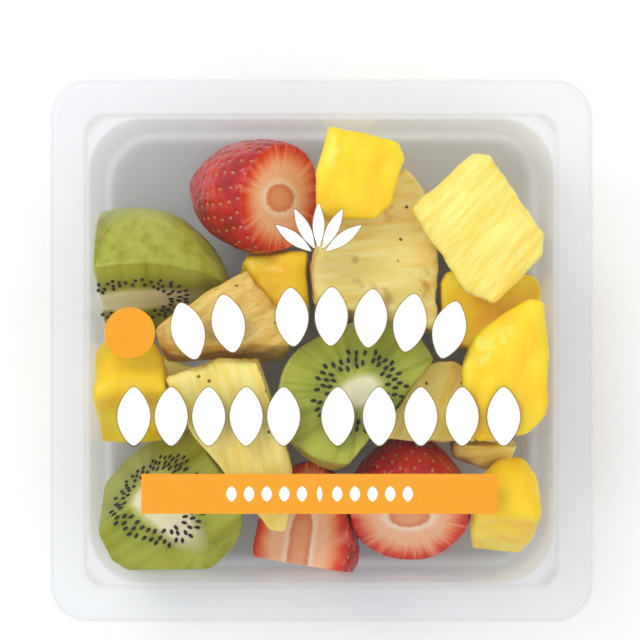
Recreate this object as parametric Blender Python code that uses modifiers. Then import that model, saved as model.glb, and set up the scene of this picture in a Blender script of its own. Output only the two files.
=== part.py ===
"""A clear square tub of fruit salad under a sealed film lid, with strawberry, kiwi, mango and pineapple pieces.

Run it with: blender --background --python part.py
Units are metres and +Z is up. The origin is the middle of the tub's base, on the surface that it stands on.
+Y is the side that is uppermost when the lid is looked at from above.
"""

import math

import bmesh
import bpy
import numpy as np
from mathutils import Euler, Matrix, Vector, noise

MM = 0.001

# The tub, a thermoformed shell. Its sizes are outside ones, with the wall's thickness inside them.
TUB_SIDE = 150 * MM
TUB_HEIGHT = 50 * MM
TUB_WALL = 0.6 * MM
SKIRT_DEPTH = 5 * MM  # the flange's edge turns down by this
SKIRT_FLARE = 1.8 * MM
FLANGE_CORNER = 10 * MM
OPENING_SIDE = 131 * MM
OPENING_CORNER = 5.5 * MM
LEDGE_DEPTH = 3.5 * MM  # the small ledges in the corners lie this far below the flange
POCKET_CORNER = 15 * MM  # the pocket's own corner, which leaves those ledges
BASE_SIDE = 124 * MM
BASE_FILLET = 3.2 * MM
PANEL_SIDE = 96 * MM  # the middle of the base is raised, so that the tub stands on a flat ring round it
PANEL_RISE = 1.2 * MM
TURN = 0.6 * MM  # the radius, roughly, of the shell's small bends
CORNER_STEPS = 6

# The film lid, sealed on the flange.
FILM_THICKNESS = 0.3 * MM

GAP = 0.3 * MM  # between pieces that touch
WALL_FACETS = 16  # flat sides that stand in for the pocket's rounded wall, where fruit leans on it


# ---------------------------------------------------------------- materials and objects


def material(name, colour, roughness, alpha=1.0):
    """A plain Principled material."""
    made = bpy.data.materials.new(name)
    made.use_nodes = True
    shader = made.node_tree.nodes["Principled BSDF"]
    shader.inputs["Base Color"].default_value = (*colour, 1.0)
    shader.inputs["Roughness"].default_value = roughness
    shader.inputs["Metallic"].default_value = 0.0
    shader.inputs["Alpha"].default_value = alpha
    made.diffuse_color = (*colour, alpha)
    return made


def face_outwards(shape):
    bmesh.ops.recalc_face_normals(shape, faces=shape.faces)
    if shape.calc_volume(signed=True) < 0:
        bmesh.ops.reverse_faces(shape, faces=shape.faces)


def add_object(name, shape, finish, collection):
    """Turns a finished bmesh into a named object with its material."""
    face_outwards(shape)
    mesh = bpy.data.meshes.new(name)
    shape.to_mesh(mesh)
    shape.free()
    mesh.materials.append(finish)
    made = bpy.data.objects.new(name, mesh)
    collection.objects.link(made)
    return made


# ---------------------------------------------------------------- the tub and its film


def rounded_square(side, corner, height):
    """Points round a square with rounded corners, starting at the +X +Y corner's +X end."""
    reach = side / 2 - corner
    points = []
    for quarter in range(4):
        centre = Matrix.Rotation(quarter * math.pi / 2, 2) @ Vector((reach, reach))
        for step in range(CORNER_STEPS + 1):
            angle = (quarter + step / CORNER_STEPS) * math.pi / 2
            points.append((centre.x + corner * math.cos(angle), centre.y + corner * math.sin(angle), height))
    return points


def tub_sections():
    """(side, corner radius, height) of the shell's outer surface, from the skirt's edge in to the base's panel."""
    flange_under = TUB_HEIGHT - TUB_WALL
    skirt_side = TUB_SIDE - 2 * TUB_WALL  # the wall's thickness is on its far side here
    flange_side = skirt_side - 2 * SKIRT_FLARE
    return [
        (skirt_side, FLANGE_CORNER, TUB_HEIGHT - SKIRT_DEPTH),
        (flange_side, FLANGE_CORNER - SKIRT_FLARE, flange_under - TURN),
        (flange_side - 2 * TURN, FLANGE_CORNER - SKIRT_FLARE - TURN, flange_under),
        (OPENING_SIDE + 2 * TURN, OPENING_CORNER + TURN, flange_under),
        (OPENING_SIDE, OPENING_CORNER, flange_under - TURN),
        (OPENING_SIDE - 2 * TURN, OPENING_CORNER, TUB_HEIGHT - LEDGE_DEPTH),
        (OPENING_SIDE - 4 * TURN, POCKET_CORNER, TUB_HEIGHT - LEDGE_DEPTH - TURN),
        (BASE_SIDE + 2 * TURN, POCKET_CORNER - TURN, BASE_FILLET),
        (BASE_SIDE - 2 * TURN, POCKET_CORNER - 2 * TURN, 0.3 * BASE_FILLET),
        (BASE_SIDE - 2 * BASE_FILLET, POCKET_CORNER - BASE_FILLET, 0.0),
        (PANEL_SIDE, POCKET_CORNER - BASE_FILLET, 0.0),
        (PANEL_SIDE - 2 * PANEL_RISE, POCKET_CORNER - BASE_FILLET, PANEL_RISE),
    ]


def make_tub(finish, collection):
    """A loft between rounded squares of unlike corners, given its wall by Solidify."""
    shape = bmesh.new()
    rings = [[shape.verts.new(point) for point in rounded_square(*section)] for section in tub_sections()]
    for upper, lower in zip(rings, rings[1:]):
        for i in range(len(upper)):
            after = (i + 1) % len(upper)
            shape.faces.new((upper[i], lower[i], lower[after], upper[after]))
    shape.faces.new(rings[-1])
    tub = add_object("tub", shape, finish, collection)
    wall = tub.modifiers.new("wall", "SOLIDIFY")
    wall.thickness = TUB_WALL
    wall.offset = 1.0 if points_inward(tub) else -1.0
    wall.use_even_offset = True
    return tub


def points_inward(tub):
    """True if the open shell's faces point at its inside. Its largest face is the base's panel."""
    panel = max(tub.data.polygons, key=lambda face: face.area)
    return panel.normal.z > 0


def make_film(finish, collection):
    """A flat sheet over the flange, as wide as the flange's flat top."""
    side = TUB_SIDE - 2 * SKIRT_FLARE - 2 * TUB_WALL
    shape = bmesh.new()
    outline = rounded_square(side, FLANGE_CORNER - SKIRT_FLARE, TUB_HEIGHT + GAP)
    bottom = shape.faces.new([shape.verts.new(point) for point in outline])
    raised = bmesh.ops.extrude_face_region(shape, geom=[bottom])
    top = [item for item in raised["geom"] if isinstance(item, bmesh.types.BMVert)]
    bmesh.ops.translate(shape, verts=top, vec=(0, 0, FILM_THICKNESS))
    return add_object("film_lid", shape, finish, collection)


# ---------------------------------------------------------------- fruit shapes, each in its own frame


def cut(shape, point, normal):
    """Cuts off what lies on the normal's side of a plane, if anything does, and closes the piece again."""
    point, normal = Vector(point), Vector(normal).normalized()
    if max((vert.co - point).dot(normal) for vert in shape.verts) < 0.02 * MM:
        return
    everything = shape.verts[:] + shape.edges[:] + shape.faces[:]
    bmesh.ops.bisect_plane(shape, geom=everything, dist=0.01 * MM, plane_co=point, plane_no=normal, clear_outer=True)
    close(shape)


def close(shape):
    """Makes a piece the convex solid round its corners. Every chunk is convex but for a little unevenness."""
    bmesh.ops.delete(shape, geom=shape.edges[:] + shape.faces[:], context="EDGES_FACES")
    bmesh.ops.remove_doubles(shape, verts=shape.verts, dist=0.1 * MM)
    found = bmesh.ops.convex_hull(shape, input=shape.verts, use_existing_faces=False)
    inner = found["geom_interior"] + found["geom_unused"]
    spare = {item for item in inner if isinstance(item, bmesh.types.BMVert)}
    bmesh.ops.delete(shape, geom=list(spare), context="VERTS")
    face_outwards(shape)


def uneven(shape, amount, pitch, seed):
    """Pushes the surface in and out a little, smoothly, so that no two pieces are alike."""
    face_outwards(shape)
    shape.normal_update()
    offset = Vector((seed * 7.3, seed * 3.1, seed * 5.7))
    moves = [(vert, vert.normal * amount * noise.noise(vert.co / pitch + offset)) for vert in shape.verts]
    for vert, move in moves:
        vert.co += move


def berry_outline(along):
    """A strawberry's radius as a share of its widest, from 0 at its tip to 1 at its crown."""
    widest = 0.72
    if along < widest:
        return (1 - (1 - along / widest) ** 2.0) ** 0.68
    return math.sqrt(1 - 0.55 * ((along - widest) / (1 - widest)) ** 2)


def strawberry(length, radius, seed, crown_cut=0.86, half_cut=None):
    """Its axis is Z, tip down, with the crown cut off square at crown_cut of its length, which is height 0.
    half_cut, where given, is how far off the axis it is halved lengthwise, on its +X side."""
    shape = bmesh.new()
    bmesh.ops.create_uvsphere(shape, u_segments=18, v_segments=14, radius=1.0)
    for vert in shape.verts:
        along = (1 + vert.co.z) / 2
        across = Vector(vert.co.xy)
        if across.length > 1e-6:
            across = across.normalized() * radius * berry_outline(along) * MM
        vert.co = (across.x, across.y, length * (along - crown_cut) * MM)
    uneven(shape, 1.2 * MM, 14 * MM, seed)
    cut(shape, (0, 0, 0), (0, 0, 1))
    if half_cut is not None:
        cut(shape, (half_cut * MM, 0, 0), (1, 0, 0))
    return shape


def kiwi(half_sizes, seed, side_cut=0.0, end_cut=None, far_cut=None):
    """Its long axis is X. side_cut is the height of the lengthwise cut, which faces up, and end_cut and far_cut are
    the places on X of cuts across it, facing -X and +X."""
    shape = bmesh.new()
    bmesh.ops.create_uvsphere(shape, u_segments=20, v_segments=12, radius=MM)
    bmesh.ops.rotate(shape, verts=shape.verts, matrix=Matrix.Rotation(math.pi / 2, 3, "Y"))
    bmesh.ops.scale(shape, verts=shape.verts, vec=half_sizes)
    uneven(shape, 1.4 * MM, 16 * MM, seed)
    if side_cut is not None:
        cut(shape, (0, 0, side_cut * MM), (0, 0, 1))
    if end_cut is not None:
        cut(shape, (end_cut * MM, 0, 0), (-1, 0, 0))
    if far_cut is not None:
        cut(shape, (far_cut * MM, 0, 0), (1, 0, 0))
    return shape


def block(outline, height, seed, foot=0.9, dome=1.5, rounding=2.0):
    """A cut chunk: its outline at the top, which is height 0, narrows to the share foot at the bottom. Its top
    bulges by dome, and its edges are rounded."""
    shape = bmesh.new()
    levels = []
    steps = [(-dome, 0.5), (0, 0.93), (0.06 * height, 1.0), (0.5 * height, (1 + foot) / 2 + 0.02)]
    steps += [(0.94 * height, foot), (height, foot - 0.08), (height + 0.5 * dome, 0.5 * foot)]
    for drop, share in steps:
        levels.append([shape.verts.new((x * share * MM, y * share * MM, -drop * MM)) for x, y in outline])
    edges = []
    for level in levels:
        edges.append([shape.edges.new((a, b)) for a, b in zip(level, level[1:] + level[:1])])
    for upper, lower in zip(edges, edges[1:]):
        bmesh.ops.bridge_loops(shape, edges=upper + lower)
    for level in (levels[0], levels[-1]):
        shape.faces.new(level)
    face_outwards(shape)
    upright = [edge for edge in shape.edges if edge.calc_face_angle(0.0) > math.radians(28)]
    bmesh.ops.bevel(
        shape, geom=upright, offset=rounding * MM, offset_type="OFFSET", segments=2, profile=0.5,
        affect="EDGES", clamp_overlap=True, material=-1,
    )
    uneven(shape, 1.2 * MM, 13 * MM, seed)
    return shape


def sector(inner, outer, spread):
    """The outline of a piece of a pineapple ring, core side at -X and rind side at +X, about its middle."""
    middle = (inner + outer) / 2
    half = math.radians(spread) / 2
    arc = [(outer * math.cos(half * t), outer * math.sin(half * t)) for t in (-1, -0.5, 0, 0.5, 1)]
    core = [(inner * math.cos(half * t), inner * math.sin(half * t)) for t in (1, 0, -1)]
    return [(x - middle, y) for x, y in arc + core]


# ---------------------------------------------------------------- how the pieces lie


def laid(shape, place, turn):
    """Turns a piece by angles in degrees about X, then Y, then Z, and moves it to its place in millimetres."""
    angles = Euler([math.radians(angle) for angle in turn])
    bmesh.ops.rotate(shape, verts=shape.verts, matrix=angles.to_matrix())
    bmesh.ops.translate(shape, verts=shape.verts, vec=Vector(place) * MM)
    return shape


def reach(section, angle):
    """How far a rounded square reaches from its middle in a direction."""
    side, corner, _ = section
    return (side / 2 - corner) * (abs(math.cos(angle)) + abs(math.sin(angle))) + corner


def trim_to_tub(shape):
    """Flattens a piece where it leans on the tub's walls, base or film."""
    sections = tub_sections()
    bends = [(6, 7), (7, 9)]  # the pocket's wall and its lower edge
    clear = TUB_WALL * 1.2 + GAP
    for step in range(WALL_FACETS):
        angle = step * 2 * math.pi / WALL_FACETS
        for top, bottom in bends:
            high, low = reach(sections[top], angle), reach(sections[bottom], angle)
            rise = sections[top][2] - sections[bottom][2]
            outward = Vector((rise * math.cos(angle), rise * math.sin(angle), low - high)).normalized()
            on_wall = Vector((low * math.cos(angle), low * math.sin(angle), sections[bottom][2]))
            cut(shape, on_wall - outward * clear, outward)
    cut(shape, (0, 0, PANEL_RISE + TUB_WALL + GAP), (0, 0, -1))
    cut(shape, (0, 0, TUB_HEIGHT), (0, 0, 1))


def directions():
    ball = bmesh.new()
    bmesh.ops.create_icosphere(ball, subdivisions=4, radius=1.0)
    found = np.array([vert.co.normalized() for vert in ball.verts])
    ball.free()
    return found


def press(shape, settled, ways):
    """Where a piece meets one that already lies in the tub, it gives way: it is flattened on the side where the least
    has to go. A flat between two pieces that bulge keeps them apart by a gap."""
    for other in settled:
        own = np.array([vert.co for vert in shape.verts])
        depth = (other @ ways.T).max(axis=0) - (own @ ways.T).min(axis=0)
        best = int(depth.argmin())
        if depth[best] < -GAP:
            continue
        way = Vector(ways[best])
        edge = float((other @ ways[best]).max()) + GAP
        cut(shape, way * edge, -way)


# Each piece: its node, its finish, its shape in millimetres, its place in millimetres and its turn in degrees. Those
# that show most come first and keep their form, and each later one gives way to them. A block's place is the middle
# of its top, a kiwi's is its middle and a strawberry's is the middle of its crown cut.
def fruit():
    berry_north = strawberry(41, 16.5, 14, crown_cut=0.84)
    berry_southeast = strawberry(38, 17.3, 11, crown_cut=0.8)
    berry_south = strawberry(35, 16, 10, half_cut=2)
    kiwi_middle = kiwi((32, 23.5, 20), 19, side_cut=None, end_cut=-5)
    kiwi_northwest = kiwi((28, 23, 27), 13, side_cut=0.5, end_cut=-10)
    kiwi_southwest = kiwi((29, 23, 27), 9, side_cut=0.5, end_cut=-2)
    mango_east = block(
        [(-9.5, 9), (-1, 16.5), (7, 20.5), (11, 20), (12, 4), (11.5, -12), (6, -17.5), (-7, -20), (-11.5, -17), (-12.5, 2)],
        13.5, 20, rounding=1.6)
    pineapple_east = block(
        [(-2.5, 14), (5, 15), (18, 9), (20, -6), (18, -11), (12, -13), (-19, -13), (-21, -10)],
        16, 8, rounding=1.5)
    pineapple_northeast = block(
        [(-19.2, 4.5), (-1.5, 21.4), (3.5, 19.8), (18.4, -2), (17.5, -8), (4.3, -21.4), (-3.9, -18)],
        14.5, 18, rounding=1.2)
    mango_north = block(
        [(-9, 13), (11, 9), (12.8, 4), (8.5, -8.5), (4, -12.8), (-13.5, -14), (-12, 0)],
        13, 17, rounding=2.4)
    pineapple_southwest = block(
        [(-19.5, 17), (-4.5, 22), (10, 22), (14.3, 6.5), (17.5, 1), (16, -8), (14, -27), (9.5, -26.5), (-4, -9), (-13, 3)],
        18, 21, rounding=1.2)
    mango_west = block(
        [(-10.2, -10), (-10.5, 4), (-7, 10), (6, 9.5), (10.3, 2), (11.5, -10)],
        25, 15, foot=1.05, rounding=2.4)
    mango_southeast = block(
        [(-9.5, -8), (-6.5, 5), (-1, 10), (6, 10), (9.5, 2), (9, -9.5)],
        30, 12, rounding=1.8)
    pineapple_north = block(
        [(10, 26), (15, 19), (19, 4), (18, -20), (14, -23.5), (5, -18.5), (-12, -17), (-16.5, -12), (-17.5, -2), (-14, 12)],
        20, 6, rounding=1.3)
    pineapple_west = block(
        [(1.5, 15), (5, 14), (14, 2), (19, -6), (17, -11), (-15, -11), (-20, -6), (-13, 3)],
        20, 16, rounding=1.3)
    mango_northwest = block([(-10.5, 7), (-8, 11), (9, 11), (10.5, 8), (9.5, -9), (0, -12), (-10, -3)], 20, 5)
    mango_east_low = block([(-15, 5), (-12, 9), (12, 9), (14, 6), (14, -9), (-6, -13), (-14, -11)], 22, 7)
    pineapple_southeast = block([(-9, -4), (-9, 5), (7, 6), (10, 1), (7, -5), (0, -7)], 22, 26)
    square = [(-10, -10), (-10.5, 9.5), (0, 11), (10, 10), (11, -9), (1, -10.5)]
    narrow = [(0.8 * x, 0.8 * y) for x, y in square]
    return [
        ("strawberry_north", "strawberry", berry_north, (-11.5, 42.6, 33), (0, 46, -10)),
        ("strawberry_southeast", "strawberry", berry_southeast, (24.6, -46.3, 34), (38, 0, 0)),
        ("mango_east", "mango", mango_east, (51, -5.8, 46.5), (-3, 3, 0)),
        ("pineapple_east", "pineapple", pineapple_east, (33, -17.6, 38), (0, 15, 0)),
        ("kiwi_middle", "kiwi", kiwi_middle, (10.5, -12.3, 38.5), (-22, 79, -90)),
        ("pineapple_northeast", "pineapple", pineapple_northeast, (43.6, 34.4, 46.5), (2, 2, 0)),
        ("mango_north", "mango", mango_north, (11.1, 49.2, 46.5), (-3, 3, 0)),
        ("pineapple_southwest", "pineapple", pineapple_southwest, (-23.8, -24.5, 43), (7, 0, 0)),
        ("mango_west", "mango", mango_west, (-53.5, -3.9, 39.5), (-34, 0, 0)),
        ("kiwi_northwest", "kiwi", kiwi_northwest, (-53.5, 14.5, 25), (64, 0, 4)),
        ("kiwi_southwest", "kiwi", kiwi_southwest, (-47, -41, 32), (11, 25, -50)),
        ("mango_southeast", "mango", mango_southeast, (51.5, -37.5, 40), (-28, 4, 0)),
        ("strawberry_south", "strawberry", berry_south, (-6, -60.5, 25), (-87, -59, 169)),
        ("pineapple_north", "pineapple", pineapple_north, (14.7, 26.4, 33), (-8, 6, 0)),
        ("pineapple_west", "pineapple", pineapple_west, (-26.5, 11.5, 38), (-28, 0, 0)),
        ("mango_northwest", "mango", mango_northwest, (-12.8, 17, 29), (0, 0, 0)),
        ("mango_east_low", "mango", mango_east_low, (48, 12.7, 31), (0, 0, 0)),
        ("pineapple_southeast", "pineapple", pineapple_southeast, (45.5, -26.5, 31), (0, 0, 0)),
        ("mango_under_northeast", "mango", block(square, 22, 1), (42, 35, 27), (0, 0, 45)),
        ("pineapple_under_north", "pineapple", block(sector(8, 38, 46), 12, 2), (14, 24, 14), (0, 0, 80)),
        ("mango_under_east", "mango", block(square, 19, 3), (33, -16, 22), (0, 0, 10)),
        ("mango_under_southwest", "mango", block(square, 22, 4), (-33, -19, 25), (0, 0, 20)),
        ("strawberry_under_east", "strawberry", strawberry(30, 11.5, 22), (50, -17, 15), (90, 0, 0)),
        ("pineapple_under_west", "pineapple", block(sector(8, 32, 50), 11, 23), (-48, -9, 13), (0, 0, 185)),
        ("pineapple_under_top", "pineapple", block(narrow, 26, 24), (8, 50, 30), (0, 0, 0)),
    ]


def main():
    for old in list(bpy.data.objects):
        bpy.data.objects.remove(old)
    salad = bpy.data.collections.new("fruit_salad_tub")
    bpy.context.scene.collection.children.link(salad)
    finishes = {
        "clear_tub": material("clear_tub", (0.86, 0.88, 0.89), 0.08, 0.35),
        "clear_film": material("clear_film", (0.90, 0.91, 0.92), 0.05, 0.25),
        "strawberry": material("strawberry", (0.72, 0.05, 0.03), 0.35),
        "kiwi": material("kiwi", (0.42, 0.47, 0.07), 0.35),
        "mango": material("mango", (0.95, 0.66, 0.05), 0.4),
        "pineapple": material("pineapple", (0.92, 0.74, 0.25), 0.4),
    }
    make_tub(finishes["clear_tub"], salad)
    make_film(finishes["clear_film"], salad)
    ways = directions()
    settled = []
    for name, finish, shape, place, turn in fruit():
        laid(shape, place, turn)
        close(shape)
        whole = shape.calc_volume()
        trim_to_tub(shape)
        press(shape, settled, ways)
        settled.append(np.array([vert.co for vert in shape.verts]))
        low, high = min(vert.co.z for vert in shape.verts), max(vert.co.z for vert in shape.verts)
        volume = shape.calc_volume()
        print(f"{name}: {low / MM:.1f} to {high / MM:.1f} mm high, {volume / MM**3:.0f} mm3, "
              f"{1 - volume / whole:.0%} of it pressed flat")
        add_object(name, shape, finishes[finish], salad)


main()
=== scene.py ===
# %% [markdown]
# # A tub of fruit salad
# The object is a clear square tub of cut fruit, sealed with a clear printed film. The CAD model already has
# every chunk of fruit in its place. This lesson keeps those places and sizes, and gives each piece its real
# surface: thin clear plastic, juicy cut flesh, seeds, and a printed film over it all.

# %% Load the CAD model and keep its box
import math
import random

import bmesh
import bpy
from mathutils import Euler, Matrix, Vector, noise
from mathutils.kdtree import KDTree


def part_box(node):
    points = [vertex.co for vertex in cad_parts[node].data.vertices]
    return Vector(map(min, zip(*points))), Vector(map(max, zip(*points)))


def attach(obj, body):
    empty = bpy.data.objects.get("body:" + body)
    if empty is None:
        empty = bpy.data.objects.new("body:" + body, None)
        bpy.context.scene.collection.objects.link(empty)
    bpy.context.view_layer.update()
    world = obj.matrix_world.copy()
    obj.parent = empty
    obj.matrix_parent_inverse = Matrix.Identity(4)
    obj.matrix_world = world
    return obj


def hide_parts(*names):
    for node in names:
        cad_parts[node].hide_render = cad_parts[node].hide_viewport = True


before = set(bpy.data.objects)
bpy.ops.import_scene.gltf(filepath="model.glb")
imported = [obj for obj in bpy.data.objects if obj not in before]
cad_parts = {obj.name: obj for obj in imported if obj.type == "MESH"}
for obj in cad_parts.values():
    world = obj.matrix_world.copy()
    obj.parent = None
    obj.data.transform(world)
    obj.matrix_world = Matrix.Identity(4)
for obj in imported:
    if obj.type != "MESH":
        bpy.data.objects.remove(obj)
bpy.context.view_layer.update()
MM = 0.001
random.seed(7)

# %% [markdown]
# Every piece ends in the same way: its bmesh becomes an object that moves with the tub, takes its finish,
# and hides the CAD node that it replaces. One helper does that, so that no piece forgets a step.


# %% A helper that finishes a piece
def show(name, shape, finish, stands_for=()):
    mesh = bpy.data.meshes.new(name)
    shape.to_mesh(mesh)
    shape.free()
    mesh.shade_smooth()
    mesh.materials.append(finish)
    piece = bpy.data.objects.new(name, mesh)
    bpy.context.scene.collection.objects.link(piece)
    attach(piece, "root")
    if stands_for:
        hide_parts(*stands_for)
    print(f"{name}: {len(mesh.polygons)} faces")
    return piece


# %% [markdown]
# A finish is a Principled shader with some of its sockets fed by a few nodes. These helpers keep the node
# code short: one makes the shader, one adds a node with its inputs, and one makes a colour ramp. Colours
# are written as everyday 0 to 255 values and turned into the linear values that a shader works in.


# %% Helpers for finishes
def colour(red, green, blue):
    values = [value / 255 for value in (red, green, blue)]
    return (*[v / 12.92 if v <= 0.04045 else ((v + 0.055) / 1.055) ** 2.4 for v in values], 1.0)


def new_finish(name, base, roughness, settings=()):
    finish = bpy.data.materials.new(name)
    finish.use_nodes = True
    shader = finish.node_tree.nodes["Principled BSDF"]
    shader.inputs["Base Color"].default_value = base
    shader.inputs["Roughness"].default_value = roughness
    for socket, value in settings:
        shader.inputs[socket].default_value = value
    return finish, finish.node_tree, shader


def add(tree, kind, inputs=(), **options):
    made = tree.nodes.new(kind)
    for option, value in options.items():
        setattr(made, option, value)
    for socket, value in inputs:
        if isinstance(value, bpy.types.NodeSocket):
            tree.links.new(value, made.inputs[socket])
        else:
            made.inputs[socket].default_value = value
    return made


def ramp(tree, amount, stops):
    made = add(tree, "ShaderNodeValToRGB", [("Fac", amount)])
    points = made.color_ramp.elements
    points[0].position, points[0].color = stops[0]
    points[1].position, points[1].color = stops[-1]
    for place, shade in stops[1:-1]:
        points.new(place).color = shade
    return made.outputs["Color"]


def maths(tree, operation, first, second=0.0):
    return add(tree, "ShaderNodeMath", [(0, first), (1, second)], operation=operation).outputs[0]


def speckle(tree, vector, scale, detail=3.0, roughness=0.55):
    return add(
        tree, "ShaderNodeTexNoise",
        [("Vector", vector), ("Scale", scale), ("Detail", detail), ("Roughness", roughness)],
    ).outputs["Fac"]


def mix(tree, amount, first, second, blend="MIX"):
    made = add(tree, "ShaderNodeMix", data_type="RGBA", blend_type=blend)
    for socket, value in ((0, amount), (6, first), (7, second)):
        if isinstance(value, bpy.types.NodeSocket):
            tree.links.new(value, made.inputs[socket])
        else:
            made.inputs[socket].default_value = value
    return made.outputs[2]


# %% [markdown]
# ## The tub
# The real tub is drawn out of one thin sheet of clear plastic. From its rim inwards it has a skirt that
# turns down, a flat flange for the film, a narrow throat, a small ledge in each corner where the pocket's
# corners are rounder than the throat's, leaning walls, and a base whose middle is raised. All of these are
# one surface here too: it is drawn on from one rounded square to the next. Its sharp bends are then rounded
# with a bevel, and Solidify gives the wall.

# %% The sizes of the tub
SKIRT_SIDE, SKIRT_DEPTH, SKIRT_FLARE = 148.8, 5.0, 1.8
TUB_HEIGHT, TUB_WALL, TURN = 50.0, 0.6, 0.6
FLANGE_CORNER, OPENING_SIDE, OPENING_CORNER = 10.0, 131.0, 5.5
LEDGE_DEPTH, POCKET_CORNER = 3.5, 15.0
BASE_SIDE, BASE_FILLET = 124.0, 3.2
PANEL_SIDE, PANEL_RISE = 96.0, 1.2
flange_side = SKIRT_SIDE - 2 * SKIRT_FLARE
tub_sections = [
    (SKIRT_SIDE, FLANGE_CORNER, TUB_HEIGHT - SKIRT_DEPTH),
    (flange_side, FLANGE_CORNER - SKIRT_FLARE, TUB_HEIGHT - TUB_WALL - TURN),
    (flange_side - 2 * TURN, FLANGE_CORNER - SKIRT_FLARE - TURN, TUB_HEIGHT - TUB_WALL),
    (OPENING_SIDE + 2 * TURN, OPENING_CORNER + TURN, TUB_HEIGHT - TUB_WALL),
    (OPENING_SIDE, OPENING_CORNER, TUB_HEIGHT - TUB_WALL - TURN),
    (OPENING_SIDE - 2 * TURN, OPENING_CORNER, TUB_HEIGHT - LEDGE_DEPTH),
    (OPENING_SIDE - 4 * TURN, POCKET_CORNER, TUB_HEIGHT - LEDGE_DEPTH - TURN),
    (BASE_SIDE + 2 * TURN, POCKET_CORNER - TURN, BASE_FILLET),
    (BASE_SIDE - 2 * TURN, POCKET_CORNER - 2 * TURN, 0.3 * BASE_FILLET),
    (BASE_SIDE - 2 * BASE_FILLET, POCKET_CORNER - BASE_FILLET, 0.0),
    (PANEL_SIDE, POCKET_CORNER - BASE_FILLET, 0.0),
    (PANEL_SIDE - 2 * PANEL_RISE, POCKET_CORNER - BASE_FILLET, PANEL_RISE),
]
print(len(tub_sections), "rounded squares make the tub")

# %% [markdown]
# A rounded square is a ring of points, with an arc of them at each corner. The first ring is the skirt's
# lower edge. Extrude then draws a new ring out of the last one, again and again, and each ring's points
# move to their seats on the next rounded square. The number of its seat rides on each point in a layer,
# which Extrude copies.


# %% A rounded square's ring
def rounded_square(side, corner, height, steps=12):
    reach = side / 2 - corner
    spots = []
    for quarter in range(4):
        centre = Matrix.Rotation(quarter * math.pi / 2, 2) @ Vector((reach, reach))
        for step in range(steps + 1):
            angle = (quarter + step / steps) * math.pi / 2
            spot = (centre.x + corner * math.cos(angle), centre.y + corner * math.sin(angle), height)
            spots.append(Vector(spot) * MM)
    return spots


def ring(shape, spots):
    points = [shape.verts.new(spot) for spot in spots]
    return points, [shape.edges.new(pair) for pair in zip(points, points[1:] + points[:1])]


# %% The tub's shell
shell = bmesh.new()
seat = shell.verts.layers.int.new("seat")
points, edge_ring = ring(shell, rounded_square(*tub_sections[0]))
for number, point in enumerate(points):
    point[seat] = number
for section in tub_sections[1:]:
    spots = rounded_square(*section)
    drawn = bmesh.ops.extrude_edge_only(shell, edges=edge_ring)["geom"]
    corners = {part for part in drawn if isinstance(part, bmesh.types.BMVert)}
    for corner in corners:
        corner.co = spots[corner[seat]]
    edges = [part for part in drawn if isinstance(part, bmesh.types.BMEdge)]
    edge_ring = [edge for edge in edges if corners.issuperset(edge.verts)]
bmesh.ops.edgeloop_fill(shell, edges=edge_ring)
bmesh.ops.recalc_face_normals(shell, faces=shell.faces)
panel = max(shell.faces, key=lambda face: face.calc_area())
if panel.normal.z > 0:
    bmesh.ops.reverse_faces(shell, faces=shell.faces)
SHARP_BEND = math.radians(25)
inner_edges = [edge for edge in shell.edges if len(edge.link_faces) == 2]
bends = [edge for edge in inner_edges if edge.calc_face_angle() > SHARP_BEND]
bmesh.ops.bevel(
    shell, geom=bends, offset=0.25 * MM, offset_type="OFFSET", segments=2, profile=0.5,
    affect="EDGES", clamp_overlap=True, material=-1,
)
print(len(bends), "bent edges rounded")

# %% [markdown]
# Clear plastic this thin hardly bends light, so it needs no refraction. What shows it is a faint grey veil
# where it is seen face on, a much stronger one where it is seen edge on, and sharp highlights. A low Alpha
# gives the veil and lets lamps through to the fruit, and Layer Weight makes it denser towards the edges.


# %% The clear plastic's finish
def clear_plastic(name, tint, face_on, edge_on, roughness, gloss):
    finish, tree, shader = new_finish(name, tint, roughness, [("IOR", 1.57), ("Specular IOR Level", gloss)])
    facing = add(tree, "ShaderNodeLayerWeight", [("Blend", 0.5)]).outputs["Facing"]
    edge = maths(tree, "POWER", facing, 3.0)
    alpha = add(tree, "ShaderNodeMapRange", [("Value", edge), ("To Min", face_on), ("To Max", edge_on)])
    tree.links.new(alpha.outputs["Result"], shader.inputs["Alpha"])
    return finish


tub_plastic = clear_plastic("clear tub plastic", colour(206, 210, 215), 0.12, 0.45, 0.06, 0.5)
tub = show("clear_tub", shell, tub_plastic, ["tub"])
wall = tub.modifiers.new("wall", "SOLIDIFY")
wall.thickness = TUB_WALL * MM
wall.offset = -1.0
wall.use_even_offset = True

# %% [markdown]
# ## The film
# The film is welded to the flange all round and stretched over the opening. Where the fruit and the air
# under it push or pull, it rises and dips by a few tenths of a millimetre, which is what breaks up its
# reflections. The flat sheet is cut into small squares by upright planes. Inside the opening its points are
# then lowered slightly and waved with smooth noise, and on the flange they stay level.

# %% How the film rises and dips
FILM_LOW, FILM_HIGH = 50.32, 50.44


def film_rise(x, y):
    inside = 1 - max(abs(x), abs(y)) / (0.5 * OPENING_SIDE * MM)
    if inside <= 0:
        return 0.0
    spot = Vector((x, y, 0))
    swell = 0.22 * noise.noise(spot / (26 * MM)) + 0.05 * noise.noise(spot / (9 * MM))
    return MM * min(1, inside * 6) * (swell - 0.16)


def drape(flat, lift, pitch=4):
    for axis in (0, 1):
        for step in range(-19, 20):
            place, way = [0, 0, 0], [0, 0, 0]
            place[axis], way[axis] = step * pitch * MM, 1
            everything = flat.verts[:] + flat.edges[:] + flat.faces[:]
            bmesh.ops.bisect_plane(flat, geom=everything, dist=1e-8, plane_co=place, plane_no=way)
    for vert in flat.verts:
        vert.co.z = lift * MM + film_rise(vert.co.x, vert.co.y)
    bmesh.ops.recalc_face_normals(flat, faces=flat.faces)


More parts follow.
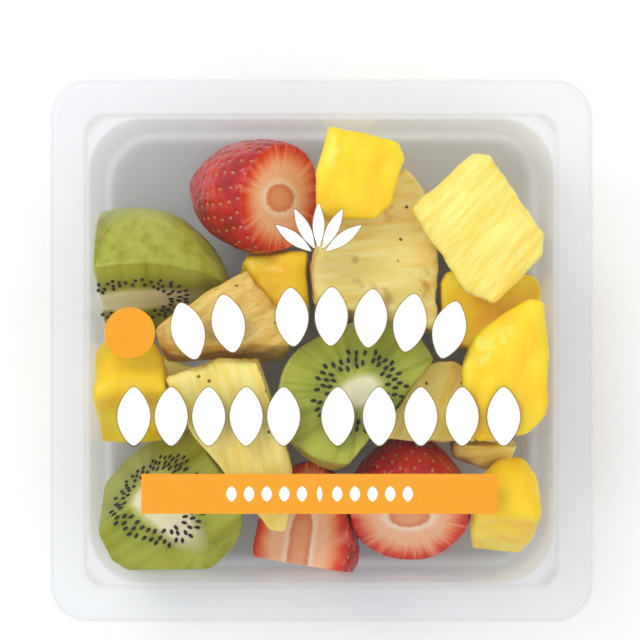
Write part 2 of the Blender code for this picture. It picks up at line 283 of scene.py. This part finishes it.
# %% The film lid
film = bmesh.new()
_, outline = ring(film, rounded_square(flange_side, FLANGE_CORNER - SKIRT_FLARE, 0))
bmesh.ops.edgeloop_fill(film, edges=outline)
drape(film, (FILM_LOW + FILM_HIGH) / 2)
film_finish = clear_plastic("clear film", colour(238, 240, 242), 0.008, 0.3, 0.05, 0.12)
film_lid = show("film", film, film_finish, ["film_lid"])
sheet = film_lid.modifiers.new("sheet", "SOLIDIFY")
sheet.thickness = (FILM_HIGH - FILM_LOW) * MM
sheet.offset = 0.0

# %% [markdown]
# ## The print on the film
# Ink lies on the film as flat fields of colour: an orange band with a row of small shapes in it, two rows
# of large white leaves above it, a round orange spot, and a small sprig. Each leaf is a circle that is
# pinched towards its ends and stretched. A second, slightly larger, faint dark set lies under the white one:
# a painted shadow round each white leaf.


# %% A printed leaf
def leaf(flat, width, height, centre, turn=0.0, pinch=0.0, steps=40):
    made = bmesh.ops.create_circle(flat, cap_ends=True, segments=steps, radius=1.0)
    for vert in made["verts"]:
        vert.co.x *= 1 - pinch * vert.co.y**2
    bmesh.ops.scale(flat, verts=made["verts"], vec=(width / 2 * MM, height / 2 * MM, 1))
    bmesh.ops.rotate(flat, verts=made["verts"], matrix=Matrix.Rotation(math.radians(turn), 3, "Z"))
    bmesh.ops.translate(flat, verts=made["verts"], vec=Vector((*centre, 0)) * MM)


def white_leaves(flat, extra=0.0):
    arch = [-36.7, -25.6] + [-8.1 + 10.8 * step for step in range(5)]
    for x in arch:
        leaf(flat, 9.0 + extra, 16.0 + extra, (x, 9.5 - 0.003 * x * x), turn=-0.42 * x, pinch=0.35)
    straight = [-51.6 + 10.3 * step for step in range(5)] + [4.5 + 11.4 * step for step in range(5)]
    for x in straight:
        leaf(flat, 9.0 + extra, 16.0 + extra, (x, -18.0), pinch=0.35)
    for turn in (-54, -27, 0, 27, 54):
        lean = math.radians(turn)
        centre = (8.5 * math.sin(-lean) - 0.8, 26.0 + 8.5 * math.cos(lean))
        leaf(flat, 3.2 + extra, 12.0 + extra, centre, turn, 0.6)


# %% Printing the leaves
def ink(name, shade, alpha):
    finish, tree, shader = new_finish(name, shade, 0.5, [("Alpha", alpha), ("Specular IOR Level", 0.12)])
    place = add(tree, "ShaderNodeTexCoord").outputs["Object"]
    grain = speckle(tree, place, 900.0)
    even = mix(tree, maths(tree, "MULTIPLY", grain, 0.05), shade, colour(255, 255, 255))
    tree.links.new(even, shader.inputs["Base Color"])
    return finish


def print_on_film(name, flat, lift, finish):
    drape(flat, lift)
    printed = show(name, flat, finish)
    printed.data.shade_flat()
    coat = printed.modifiers.new("ink", "SOLIDIFY")
    coat.thickness = 0.02 * MM
    coat.offset = 0.0
    return printed


# The faint dark set just under the white leaves is a painted shadow round each leaf.
shade_under = bmesh.new()
white_leaves(shade_under, extra=0.9)
print_on_film("painted_leaf_shadows", shade_under, 50.475, ink("painted leaf shadow", colour(140, 120, 80), 0.2))
white = bmesh.new()
white_leaves(white)
print_on_film("white_leaves", white, 50.505, ink("white ink", colour(248, 248, 246), 1.0))

# %% [markdown]
# The band is a plain rectangle and the spot a plain disc. The small shapes in the band lie on top of it, so
# they are lifted a little more.

# %% The band, its row of seeds, and the spot
BAND_CENTRE, BAND_SIZE = (-0.5, -39.3), (98.0, 11.0)
band = bmesh.new()
bmesh.ops.create_grid(band, x_segments=1, y_segments=1, size=0.5)
bmesh.ops.scale(band, verts=band.verts, vec=(BAND_SIZE[0] * MM, BAND_SIZE[1] * MM, 1))
bmesh.ops.translate(band, verts=band.verts, vec=Vector((*BAND_CENTRE, 0)) * MM)
leaf(band, 14.0, 14.0, (-52.7, 5.0), steps=64)
orange_ink = ink("orange ink", colour(240, 158, 14), 1.0)
print_on_film("band_and_spot", band, 50.505, orange_ink)
row = bmesh.new()
for step in range(-5, 6):
    width = 1.5 if step == 0 else 2.9
    leaf(row, width, 4.2, (BAND_CENTRE[0] + 4.85 * step, BAND_CENTRE[1]), pinch=0.3, steps=20)
print_on_film("band_row", row, 50.545, ink("white band ink", colour(252, 248, 240), 1.0))

# %% [markdown]
# ## Getting fruit shapes ready
# Each chunk of fruit starts as a closed shape with long, uneven faces. A voxel remesh lays an even net of
# small faces over it, a few rounds of smoothing turn its knife-sharp edges into the soft edges of wet
# flesh, and noise then pushes the surface in and out. Chunks that lie deep in the tub get a coarser net.


# %% Helpers for shapes
def merged(node):
    shape = bmesh.new()
    shape.from_mesh(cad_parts[node].data)
    bmesh.ops.remove_doubles(shape, verts=shape.verts, dist=0.005 * MM)
    return shape


def even_net(shape, size):
    mesh = bpy.data.meshes.new("net")
    shape.to_mesh(mesh)
    shape.free()
    holder = bpy.data.objects.new("net", mesh)
    bpy.context.scene.collection.objects.link(holder)
    remesh = holder.modifiers.new("net", "REMESH")
    remesh.mode = "VOXEL"
    remesh.voxel_size = size * MM
    fine = bmesh.new()
    fine.from_object(holder, bpy.context.evaluated_depsgraph_get())
    bpy.data.objects.remove(holder)
    bpy.data.meshes.remove(mesh)
    return fine


def soften(shape, rounds):
    for _ in range(rounds):
        bmesh.ops.smooth_vert(
            shape, verts=shape.verts, factor=0.5, use_axis_x=True, use_axis_y=True, use_axis_z=True,
        )


def push(shape, how_far):
    shape.normal_update()
    moves = [(vert, vert.normal * how_far(vert) * MM) for vert in shape.verts]
    for vert, move in moves:
        vert.co += move


def keep_own(shape, placed):
    layer = shape.verts.layers.float_vector.new("own")
    back = placed.inverted()
    for vert in shape.verts:
        vert[layer] = (back @ vert.co) / MM
    return layer


def placing(place, turn):
    turned = Euler([math.radians(angle) for angle in turn]).to_matrix().to_4x4()
    return Matrix.Translation(Vector(place) * MM) @ turned


# %% [markdown]
# ## Mango
# Ripe mango is smooth, wet and evenly yellow, with faint fibres just under its surface and a deeper orange
# where it is thick. Light goes a little way into it, which subsurface scattering gives, and a thin coat
# gives its juice.


# %% The mango's finish
def flesh(name, base, roughness, depth, coat, radius=(1.0, 0.5, 0.15)):
    return new_finish(name, base, roughness, [
        ("Subsurface Weight", depth), ("Subsurface Radius", radius), ("Subsurface Scale", 2.2 * MM),
        ("Coat Weight", coat), ("Coat Roughness", 0.16), ("IOR", 1.33), ("Specular IOR Level", 0.35),
    ])


def relief(tree, shader, height, distance, strength=1.0):
    inputs = [("Height", height), ("Distance", distance * MM), ("Strength", strength)]
    bump = add(tree, "ShaderNodeBump", inputs)
    tree.links.new(bump.outputs["Normal"], shader.inputs["Normal"])


def own_place(tree, stretch=(1, 1, 1)):
    own = add(tree, "ShaderNodeAttribute", attribute_name="own").outputs["Vector"]
    return add(tree, "ShaderNodeVectorMath", [(0, own), (1, stretch)], operation="MULTIPLY").outputs[0]


mango_finish, tree, shader = flesh("mango flesh", colour(250, 205, 20), 0.34, 0.35, 0.25, (1.0, 0.6, 0.08))
cloud = speckle(tree, own_place(tree, (0.05, 0.12, 0.12)), 1.0, 3.0)
fibres = speckle(tree, own_place(tree, (0.1, 1.1, 1.1)), 1.0, 4.0)
tone = ramp(tree, cloud, [
    (0.3, colour(250, 190, 12)), (0.5, colour(253, 212, 22)), (0.68, colour(255, 226, 50)),
])
threads = maths(tree, "MULTIPLY", maths(tree, "SUBTRACT", fibres, 0.45), 0.9)
tree.links.new(mix(tree, threads, tone, colour(255, 234, 84)), shader.inputs["Base Color"])
relief(tree, shader, fibres, 0.25, 0.5)

# %% Cutting the mango chunks
DEEP = {"mango_under_northeast", "mango_under_east", "mango_under_southwest"}
mangoes = {
    "mango_east": (0, 0, 80), "mango_north": (0, 0, 75), "mango_west": (0, 30, 85),
    "mango_southeast": (0, 0, 100),
    "mango_northwest": (0, 0, 20), "mango_east_low": (0, 0, 40), "mango_under_northeast": (0, 0, 0),
    "mango_under_east": (0, 0, 0), "mango_under_southwest": (0, 0, 0),
}
for number, (name, turn) in enumerate(mangoes.items()):
    chunk = even_net(merged(name), 1.0 if name in DEEP else 0.6)
    soften(chunk, 4 if name in DEEP else 9)
    shift = Vector((11 * number, 3, 5))

    def soft_dents(vert):
        broad = noise.noise(vert.co / (11 * MM) + shift)
        return 0.9 * broad + 0.22 * noise.noise(vert.co / (3 * MM)) - 0.1

    push(chunk, soft_dents)
    low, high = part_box(name)
    keep_own(chunk, placing((low + high) / 2 / MM, turn))
    show(f"{name}_chunk", chunk, mango_finish, [name])

# %% [markdown]
# ## Pineapple
# Pineapple flesh is made of fibres that run out from the core. A cut along them shows fine raised lines,
# and a cut across them a ragged, open surface. Near the rind the flesh keeps small brown specks. The fibres
# are noise stretched along the chunk's own long direction: the coarse ones move the mesh, and the fine ones
# are relief in the finish.


# %% The pineapple's finish
def pineapple_flesh(name, pale, deep, specks, brown=0.0):
    finish, tree, shader = flesh(name, pale, 0.4, 0.3, 0.18, (1.0, 0.75, 0.25))
    broad = speckle(tree, own_place(tree, (0.06, 0.35, 0.2)), 1.0, 3.0)
    fibres = speckle(tree, own_place(tree, (0.09, 1.5, 1.2)), 1.0, 5.0, 0.65)
    tone = mix(tree, ramp(tree, broad, [(0.34, (0, 0, 0, 1)), (0.66, (1, 1, 1, 1))]), deep, pale)
    light = maths(tree, "MULTIPLY", maths(tree, "SUBTRACT", fibres, 0.4), 0.9)
    tone = mix(tree, light, tone, colour(255, 247, 200))
    dark = ramp(tree, fibres, [(0.3, (1, 1, 1, 1)), (0.44, (0, 0, 0, 1))])
    tone = mix(tree, maths(tree, "MULTIPLY", dark, 0.16), tone, colour(226, 186, 74))
    grains = add(tree, "ShaderNodeTexVoronoi", [("Vector", own_place(tree)), ("Scale", 0.34)])
    spots = ramp(tree, grains.outputs["Distance"], [(0.13, (1, 1, 1, 1)), (0.2, (0, 0, 0, 1))])
    rare = ramp(tree, grains.outputs["Color"], [
        (1 - specks, (0, 0, 0, 1)), (1.0 - specks + 0.02, (1, 1, 1, 1)),
    ])
    tone = mix(tree, maths(tree, "MULTIPLY", spots, rare), tone, colour(128, 78, 30))
    # The brown patches are painted shade: brown sets how much of the flesh they cover.
    if brown:
        shade_patch = ramp(tree, speckle(tree, own_place(tree), 0.13, 2.0), [
            (0.6 - 0.2 * brown, (0, 0, 0, 1)), (0.72, (1, 1, 1, 1)),
        ])
        tone = mix(tree, maths(tree, "MULTIPLY", shade_patch, 0.7), tone, colour(188, 122, 24))
    tree.links.new(tone, shader.inputs["Base Color"])
    relief(tree, shader, fibres, 0.35, 0.4)
    return finish


# The darker, browner finish with many brown patches is painted shade for the west chunk, whose lower face
# lies in shade. The tan finish has a few of the same painted-shade patches.
pale_pineapple = pineapple_flesh("pale pineapple", colour(255, 238, 140), colour(248, 216, 80), 0.35)
plain_pineapple = pineapple_flesh("plain pineapple", colour(255, 238, 126), colour(248, 214, 72), 0.0)
tan_pineapple = pineapple_flesh("tan pineapple", colour(255, 240, 160), colour(247, 216, 104), 0.2, 0.1)
pineapple_with_painted_shade = pineapple_flesh("brown pineapple", colour(246, 216, 116), colour(224, 172, 54), 0.35, 0.45)

# %% Cutting the pineapple chunks
DEEP |= {"pineapple_under_north", "pineapple_under_west", "pineapple_under_top"}
pineapples = {
    "pineapple_northeast": ((0, 0, 48), plain_pineapple), "pineapple_north": ((0, 0, 5), tan_pineapple),
    "pineapple_west": ((0, 0, 35), pineapple_with_painted_shade), "pineapple_southwest": ((0, 0, -75), pale_pineapple),
    "pineapple_east": ((0, 0, 60), pale_pineapple), "pineapple_southeast": ((0, 0, 10), plain_pineapple),
    "pineapple_under_north": ((0, 0, 80), plain_pineapple),
    "pineapple_under_west": ((0, 0, 5), plain_pineapple),
    "pineapple_under_top": ((0, 0, 0), plain_pineapple),
}
for number, (name, (turn, finish)) in enumerate(pineapples.items()):
    chunk = even_net(merged(name), 1.0 if name in DEEP else 0.55)
    soften(chunk, 3 if name in DEEP else 5)
    low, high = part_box(name)
    own = keep_own(chunk, placing((low + high) / 2 / MM, turn))
    shift = Vector((5 * number, 7, 2))

    def fibre_rise(vert):
        x, y, z = vert[own]
        coarse = noise.noise(Vector((x / 16, y / 3.2, z / 3.2)) + shift)
        fine = noise.noise(Vector((x / 7, y / 1.4, z / 1.4)) + shift)
        return 0.45 * coarse + 0.25 * fine + 0.8 * noise.noise(Vector((x, y, z)) / 9 + shift) - 0.25

    push(chunk, fibre_rise)
    show(f"{name}_chunk", chunk, finish, [name])

# %% [markdown]
# ## Round fruit: kiwi and strawberry
# These keep their natural outside on one side and a knife cut on the other. Each is a fine ball, stretched
# to the fruit's outline, made a little uneven, cut by its own knife planes and then by the large flat faces
# that the CAD piece has where it presses on its neighbours. The pattern inside real fruit is
# three-dimensional, so each vertex also keeps where it lies in the fruit, and the finish paints the inside
# from that wherever a cut shows it.


# %% Helpers for round fruit
def pressed_faces(node, least=45.0):
    shape = merged(node)
    bmesh.ops.dissolve_limit(
        shape, angle_limit=math.radians(0.6), verts=shape.verts, edges=shape.edges,
        use_dissolve_boundaries=False,
    )
    middle = sum((vert.co for vert in shape.verts), Vector()) / len(shape.verts)
    flats = []
    for face in shape.faces:
        if face.calc_area() > least * MM**2:
            way = face.normal.copy()
            if (middle - face.calc_center_median()).dot(way) > 0:
                way.negate()
            flats.append((max((vert.co for vert in shape.verts), key=way.dot).copy(), way))
    shape.free()
    return flats


def slice_off(shape, point, way):
    everything = shape.verts[:] + shape.edges[:] + shape.faces[:]
    made = bmesh.ops.bisect_plane(
        shape, geom=everything, dist=1e-8, plane_co=point, plane_no=way, clear_outer=True,
    )
    rim = [part for part in made["geom_cut"] if isinstance(part, bmesh.types.BMEdge)]
    if rim:
        bmesh.ops.holes_fill(shape, edges=rim, sides=0)


def uneven(shape, amount, pitch, seed):
    offset = Vector((seed * 7.3, seed * 3.1, seed * 5.7))
    push(shape, lambda vert: amount * noise.noise(vert.co / (pitch * MM) + offset))


def cut_fruit(name, ball, placed, knife_planes, size):
    for point, way in knife_planes:
        slice_off(ball, Vector(point) * MM, Vector(way))
    bmesh.ops.transform(ball, matrix=placed, verts=ball.verts)
    for point, way in pressed_faces(name):
        slice_off(ball, point, way)
    fine = even_net(ball, size)
    soften(fine, 3)
    return fine


def on_knife(vert_own, knife_planes, within=0.4):
    spot = Vector(vert_own)
    return any(abs((spot - Vector(point)).dot(Vector(way))) < within for point, way in knife_planes)


def small_ball(shape, centre, axes, size, around=6, rings=5):
    made = bmesh.ops.create_uvsphere(shape, u_segments=around, v_segments=rings, radius=0.5 * MM)["verts"]
    bmesh.ops.scale(shape, verts=made, vec=size)
    turned = Matrix((axes[0], axes[1], axes[2])).transposed().to_4x4()
    bmesh.ops.transform(shape, matrix=Matrix.Translation(centre) @ turned, verts=made)


def axes_from(outward, along):
    long = (along - outward * along.dot(outward)).normalized()
    return long, outward.cross(long), outward


# %% [markdown]
# ## Kiwi
# A peeled kiwi is a plump egg. A cut shows, from its middle outwards: a creamy core, a dark green ring with
# black seeds that point at the core, and paler flesh with fine rays. Two numbers per vertex steer this:
# "heart" is 1 on the core's surface, and "rind" is 1 on the fruit's outside.

# %% The kiwi's finish
kiwi_finish, tree, shader = flesh("kiwi flesh", colour(150, 172, 50), 0.3, 0.25, 0.3, (0.5, 1.0, 0.2))
heart = add(tree, "ShaderNodeAttribute", attribute_name="heart").outputs["Fac"]
rind = add(tree, "ShaderNodeAttribute", attribute_name="rind").outputs["Fac"]
spoke = add(tree, "ShaderNodeVectorMath", [(0, own_place(tree, (0, 1, 1)))], operation="NORMALIZE").outputs[0]
spoke = add(tree, "ShaderNodeVectorMath", [(0, spoke), (1, (5.5, 5.5, 5.5))], operation="MULTIPLY").outputs[0]
along = own_place(tree, (0.3, 0.02, 0.02))
spoke = add(tree, "ShaderNodeVectorMath", [(0, spoke), (1, along)], operation="ADD").outputs[0]
rays = speckle(tree, spoke, 1.0, 4.0, 0.6)
mottle = speckle(tree, own_place(tree), 0.35, 3.0)
wobble = maths(tree, "MULTIPLY", maths(tree, "SUBTRACT", rays, 0.5), 0.35)
outer = ramp(tree, maths(tree, "ADD", rind, maths(tree, "MULTIPLY", wobble, 0.3)), [
    (0.28, colour(180, 184, 66)), (0.42, colour(126, 134, 20)), (0.56, colour(140, 148, 24)),
    (0.72, colour(162, 166, 34)), (0.86, colour(170, 172, 42)), (0.95, colour(164, 164, 40)),
    (1.0, colour(160, 158, 44)),
])
outer = mix(tree, maths(tree, "MULTIPLY", mottle, 0.2), outer, colour(180, 192, 80))
lines = ramp(tree, rays, [(0.44, (0, 0, 0, 1)), (0.62, (1, 1, 1, 1))])
outer = mix(tree, maths(tree, "MULTIPLY", lines, 0.35), outer, colour(196, 204, 96))
shadows = ramp(tree, rays, [(0.3, (1, 1, 1, 1)), (0.46, (0, 0, 0, 1))])
outer = mix(tree, maths(tree, "MULTIPLY", shadows, 0.45), outer, colour(106, 112, 16))
inner = ramp(tree, maths(tree, "MULTIPLY", maths(tree, "ADD", heart, wobble), 0.5), [
    (0.44, (1, 1, 1, 1)), (0.52, (0.45, 0.45, 0.45, 1)), (0.66, (0, 0, 0, 1)),
])
cream = mix(tree, mottle, colour(246, 240, 208), colour(226, 222, 168))
tree.links.new(mix(tree, inner, outer, cream), shader.inputs["Base Color"])
relief(tree, shader, rays, 0.5, 0.5)
seed_finish, tree, shader = new_finish("kiwi seed", colour(42, 26, 24), 0.4, [("Specular IOR Level", 0.35)])
tone = speckle(tree, add(tree, "ShaderNodeTexCoord").outputs["Object"], 400.0)
tree.links.new(mix(tree, tone, colour(26, 14, 12), colour(66, 38, 26)), shader.inputs["Base Color"])

# %% [markdown]
# The seeds are small meshes set half into the cut face. Random spots are tried all over each knife plane,
# and a spot is kept if it lies in the seed ring, far enough from the seeds already set, and on flesh that
# is still there.


# %% Setting the kiwi's seeds
def seed_spots(halves, knife_planes, seed, apart=1.75, tries=9000):
    pick = random.Random(seed)
    kept = []
    for point, way in knife_planes:
        way = Vector(way)
        for _ in range(tries):
            spot = Vector([pick.uniform(-half, half) for half in halves])
            spot -= way * (spot - Vector(point)).dot(way)
            scaled = Vector([value / half for value, half in zip(spot, halves)])
            if not 0.36 + 0.05 * pick.random() < scaled.length < 0.6 - 0.1 * pick.random():
                continue
            if all((spot - other).length > apart for other, _ in kept):
                kept.append((spot, way))
    return kept


# %% Cutting the kiwis
kiwis = {
    "kiwi_middle": ((32, 23.5, 20), 19, (10.5, -12.3, 38.5), (-22, 79, -90), [((-5, 0, 0), (-1, 0, 0))]),
    "kiwi_northwest": (
        (28, 23, 27), 13, (-53.5, 14.5, 25), (64, 0, 4),
        [((0, 0, 0.5), (0, 0, 1)), ((-10, 0, 0), (-1, 0, 0))],
    ),
    "kiwi_southwest": (
        (29, 23, 27), 9, (-47, -41, 32), (11, 25, -50), [((0, 0, 0.5), (0, 0, 1)), ((-2, 0, 0), (-1, 0, 0))],
    ),
}
for name, (halves, seed, place, turn, knife_planes) in kiwis.items():
    ball = bmesh.new()
    bmesh.ops.create_uvsphere(ball, u_segments=96, v_segments=64, radius=MM)
    bmesh.ops.rotate(ball, verts=ball.verts, matrix=Matrix.Rotation(math.pi / 2, 3, "Y"))
    bmesh.ops.scale(ball, verts=ball.verts, vec=halves)
    uneven(ball, 1.4, 16, seed)
    placed = placing(place, turn)
    fruit = cut_fruit(name, ball, placed, knife_planes, 0.5)
    own = keep_own(fruit, placed)
    heart = fruit.verts.layers.float.new("heart")
    rind = fruit.verts.layers.float.new("rind")
    for vert in fruit.verts:
        x, y, z = (value / half for value, half in zip(vert[own], halves))
        vert[heart] = math.sqrt((x / 0.62) ** 2 + (y / 0.25) ** 2 + (z / 0.2) ** 2)
        vert[rind] = math.sqrt(x * x + y * y + z * z)
    surface = KDTree(len(fruit.verts))
    for index, vert in enumerate(fruit.verts):
        surface.insert(vert.co, index)
    surface.balance()
    seeds = bmesh.new()
    turned = placed.to_3x3()
    for spot, way in seed_spots(halves, knife_planes, seed):
        centre = placed @ (spot * MM)
        if surface.find(centre)[2] < 0.45 * MM:
            outward = turned @ way
            radial = turned @ Vector((0.25 * spot.x, spot.y, spot.z))
            tilt = Vector([random.uniform(-0.25, 0.25) for _ in range(3)])
            axes = axes_from(outward, radial.normalized() + tilt)
            small_ball(seeds, centre + outward * 0.05 * MM, axes, (2.0, 1.15, 0.8))
    show(f"{name}_half", fruit, kiwi_finish, [name])
    show(f"{name}_seeds", seeds, seed_finish)

# %% [markdown]
# ## Strawberry
# The outside is deep red, with a small dimple round each yellowish achene. The cut shows a thin red rim,
# pale orange flesh with fine veins, and a darker, oval heart with a pale ring round it. "cut" marks the
# knife's faces, "depth" is how many millimetres a spot lies below the outside, and "heart" is 1 on the
# heart's surface.

# %% The strawberry's finish
berry_finish, tree, shader = flesh("strawberry", colour(200, 24, 24), 0.3, 0.16, 0.45, (1.0, 0.25, 0.12))
depth = add(tree, "ShaderNodeAttribute", attribute_name="depth").outputs["Fac"]
heart = add(tree, "ShaderNodeAttribute", attribute_name="heart").outputs["Fac"]
cut = add(tree, "ShaderNodeAttribute", attribute_name="cut").outputs["Fac"]
blotch = speckle(tree, own_place(tree), 0.12, 3.0)
skin = ramp(tree, blotch, [
    (0.3, colour(150, 8, 12)), (0.55, colour(190, 18, 16)), (0.75, colour(212, 44, 24)),
])
outward = own_place(tree, (1, 1, 0.25))
spoke = add(tree, "ShaderNodeVectorMath", [(0, outward)], operation="NORMALIZE").outputs[0]
spoke = add(tree, "ShaderNodeVectorMath", [(0, spoke), (1, (7, 7, 7))], operation="MULTIPLY").outputs[0]
along = own_place(tree, (0.02, 0.02, 0.05))
spoke = add(tree, "ShaderNodeVectorMath", [(0, spoke), (1, along)], operation="ADD").outputs[0]
veins = speckle(tree, spoke, 1.0, 4.0, 0.62)
wobble = maths(tree, "MULTIPLY", maths(tree, "SUBTRACT", veins, 0.5), 5.0)
inside = ramp(tree, maths(tree, "MULTIPLY", maths(tree, "ADD", depth, wobble), 0.08), [
    (0.02, colour(196, 18, 10)), (0.1, colour(212, 44, 20)), (0.2, colour(228, 88, 48)),
    (0.34, colour(240, 144, 96)), (0.55, colour(247, 188, 146)),
])
fine_lines = ramp(tree, veins, [(0.5, (0, 0, 0, 1)), (0.66, (1, 1, 1, 1))])
inside = mix(tree, maths(tree, "MULTIPLY", fine_lines, 0.32), inside, colour(250, 204, 168))
from_core = maths(tree, "ADD", maths(tree, "MULTIPLY", heart, 0.5), maths(tree, "MULTIPLY", wobble, 0.03))
core = ramp(tree, from_core, [
    (0.2, colour(238, 164, 116)), (0.36, colour(226, 134, 86)), (0.44, colour(250, 224, 196)),
    (0.52, colour(250, 224, 196)),
])
in_core = ramp(tree, maths(tree, "MULTIPLY", heart, 0.5), [(0.46, (1, 1, 1, 1)), (0.62, (0, 0, 0, 1))])
inside = mix(tree, in_core, inside, core)
tree.links.new(mix(tree, cut, skin, inside), shader.inputs["Base Color"])
relief(tree, shader, veins, 0.4, 0.4)
achene_finish, tree, shader = new_finish("achene", colour(214, 166, 70), 0.35, [("Coat Weight", 0.3)])
tone = speckle(tree, add(tree, "ShaderNodeTexCoord").outputs["Object"], 500.0)
tree.links.new(mix(tree, tone, colour(176, 92, 30), colour(226, 172, 84)), shader.inputs["Base Color"])


# %% The strawberry's outline
def berry_outline(along):
    widest = 0.72
    if along < widest:
        return (1 - (1 - along / widest) ** 2.0) ** 0.68
    return math.sqrt(1 - 0.55 * ((along - widest) / (1 - widest)) ** 2)


def berry_ball(length, radius, seed, crown_cut):
    ball = bmesh.new()
    bmesh.ops.create_uvsphere(ball, u_segments=96, v_segments=72, radius=1.0)
    for vert in ball.verts:
        along = (1 + vert.co.z) / 2
        flat = Vector((vert.co.x, vert.co.y))
        across = flat.normalized() * radius * berry_outline(along) if flat.length > 1e-6 else Vector((0, 0))
        vert.co = Vector((across.x, across.y, length * (along - crown_cut))) * MM
    uneven(ball, 1.2, 14, seed)
    return ball


# %% [markdown]
# The achenes sit in rows round the berry, each row turned against the last. A row's spots are put on the
# nearest skin of the cut berry, the skin round each is dimpled, and a small seed is laid in the dimple.


# %% The spots for the achenes
def achene_spots(length, radius, crown_cut, pitch=3.7):
    spots = []
    along = 0.04
    row = 0
    while along < crown_cut + 0.02:
        reach = radius * berry_outline(along)
        count = max(3, round(math.tau * reach / (pitch * 1.15)))
        for step in range(count):
            angle = math.tau * (step + 0.5 * (row % 2)) / count + 0.6 * row
            stray = Vector([random.uniform(-0.55, 0.55) for _ in range(3)])
            seat_on_row = (reach * math.cos(angle), reach * math.sin(angle), length * (along - crown_cut))
            spots.append(Vector(seat_on_row) + stray)
        slope = (radius * berry_outline(along + 0.01) - reach) / (0.01 * length)
        along += pitch * 0.9 / length / math.hypot(1, slope)
        row += 1
    return spots


# %% Cutting the strawberries
TOP_CUT = ((0, 0, 0), (0, 0, 1))
strawberries = {
    "strawberry_north": (41, 16.5, 14, 0.84, (-11.5, 42.6, 33), (0, 46, -10), [TOP_CUT]),
    "strawberry_southeast": (38, 17.3, 11, 0.8, (24.6, -46.3, 34), (38, 0, 0), [TOP_CUT]),
    "strawberry_south": (
        35, 16, 10, 0.86, (-6, -60.5, 25), (-87, -59, 169), [TOP_CUT, ((2, 0, 0), (1, 0, 0))],
    ),
    "strawberry_under_east": (30, 11.5, 22, 0.86, (50, -17, 15), (90, 0, 0), [TOP_CUT]),
}
for name, (length, radius, seed, crown_cut, place, turn, knife_planes) in strawberries.items():
    ball = berry_ball(length, radius, seed, crown_cut)
    placed = placing(place, turn)
    fruit = cut_fruit(name, ball, placed, knife_planes, 0.45)
    own = keep_own(fruit, placed)
    layers = {word: fruit.verts.layers.float.new(word) for word in ("cut", "depth", "heart")}
    for vert in fruit.verts:
        x, y, z = vert[own]
        along = min(1.0, max(0.0, z / length + crown_cut))
        vert[layers["cut"]] = float(on_knife((x, y, z), knife_planes))
        vert[layers["depth"]] = radius * berry_outline(along) - math.hypot(x, y)
        below = min(0.0, z + 0.25 * length) / (0.3 * length)
        vert[layers["heart"]] = math.hypot(x / (0.42 * radius), y / (0.3 * radius), below)
    fruit.normal_update()
    skin = [vert for vert in fruit.verts if vert[layers["cut"]] < 0.5]
    surface = KDTree(len(skin))
    for index, vert in enumerate(skin):
        surface.insert(vert.co, index)
    surface.balance()
    seats = []
    for spot in achene_spots(length, radius, crown_cut):
        _, index, gap = surface.find(placed @ (spot * MM))
        if gap < 1.4 * MM:
            seats.append((skin[index].co.copy(), skin[index].normal.copy()))
    dimples = KDTree(len(seats))
    for index, (centre, _) in enumerate(seats):
        dimples.insert(centre, index)
    dimples.balance()
    for vert in skin:
        gap = dimples.find(vert.co)[2] / MM
        vert.co -= vert.normal * (0.6 * math.exp(-((gap / 1.05) ** 2)) - 0.1) * MM
    seeds = bmesh.new()
    tip_way = placed.to_3x3() @ Vector((0, 0, -1))
    for centre, outward in seats:
        small_ball(seeds, centre - outward * 0.38 * MM, axes_from(outward, tip_way), (1.3, 0.8, 0.6))
    show(f"{name}_berry", fruit, berry_finish, [name])
    show(f"{name}_achenes", seeds, achene_finish)

# %% [markdown]
# ## Stage, light and camera
# The tub stands on a plain white floor. One large soft lamp above and to the left gives the fruit its form
# and a soft shadow to the right, a second one fills, and a pale surround keeps the shade between the chunks
# open. The camera looks straight down from far off with a long lens, which keeps the tub's sides square.

# %% The floor and the lamps
floor_finish, tree, shader = new_finish("white floor", colour(252, 252, 252), 0.9)
paper = speckle(tree, add(tree, "ShaderNodeTexCoord").outputs["Object"], 300.0)
tree.links.new(mix(tree, paper, colour(250, 250, 250), colour(255, 255, 255)), shader.inputs["Base Color"])
ground = bmesh.new()
bmesh.ops.create_grid(ground, x_segments=1, y_segments=1, size=2.0)
bmesh.ops.translate(ground, verts=ground.verts, vec=(0, 0, -0.1 * MM))
ground_mesh = bpy.data.meshes.new("floor")
ground.to_mesh(ground_mesh)
ground.free()
ground_mesh.materials.append(floor_finish)
floor = bpy.data.objects.new("floor", ground_mesh)
bpy.context.scene.collection.objects.link(floor)


def lamp(name, place, size, power):
    light = bpy.data.lights.new(name, "AREA")
    light.shape = "DISK"
    light.size = size
    light.energy = power
    holder = bpy.data.objects.new(name, light)
    holder.location = place
    holder.rotation_euler = (-Vector(place)).to_track_quat("-Z", "Y").to_euler()
    bpy.context.scene.collection.objects.link(holder)


lamp("key lamp", (-0.55, 0.6, 1.1), 0.55, 5.0)
lamp("fill lamp", (0.7, -0.5, 1.2), 1.0, 1.2)
surround = bpy.data.worlds.new("surround")
surround.use_nodes = True
surround.node_tree.nodes["Background"].inputs["Color"].default_value = colour(250, 252, 255)
surround.node_tree.nodes["Background"].inputs["Strength"].default_value = 0.9
bpy.context.scene.world = surround

# %% The camera
CENTRE, WIDTH, LENS = (-0.4, 8.5), 176.0, 200.0
lens = bpy.data.cameras.new("camera")
lens.lens = LENS
lens.sensor_width = 36.0
lens.clip_end = 20.0
camera = bpy.data.objects.new("camera", lens)
camera.location = Vector((CENTRE[0], CENTRE[1], TUB_HEIGHT + WIDTH * LENS / 36.0)) * MM
bpy.context.scene.collection.objects.link(camera)
bpy.context.scene.camera = camera
bpy.context.scene.view_settings.view_transform = "Standard"
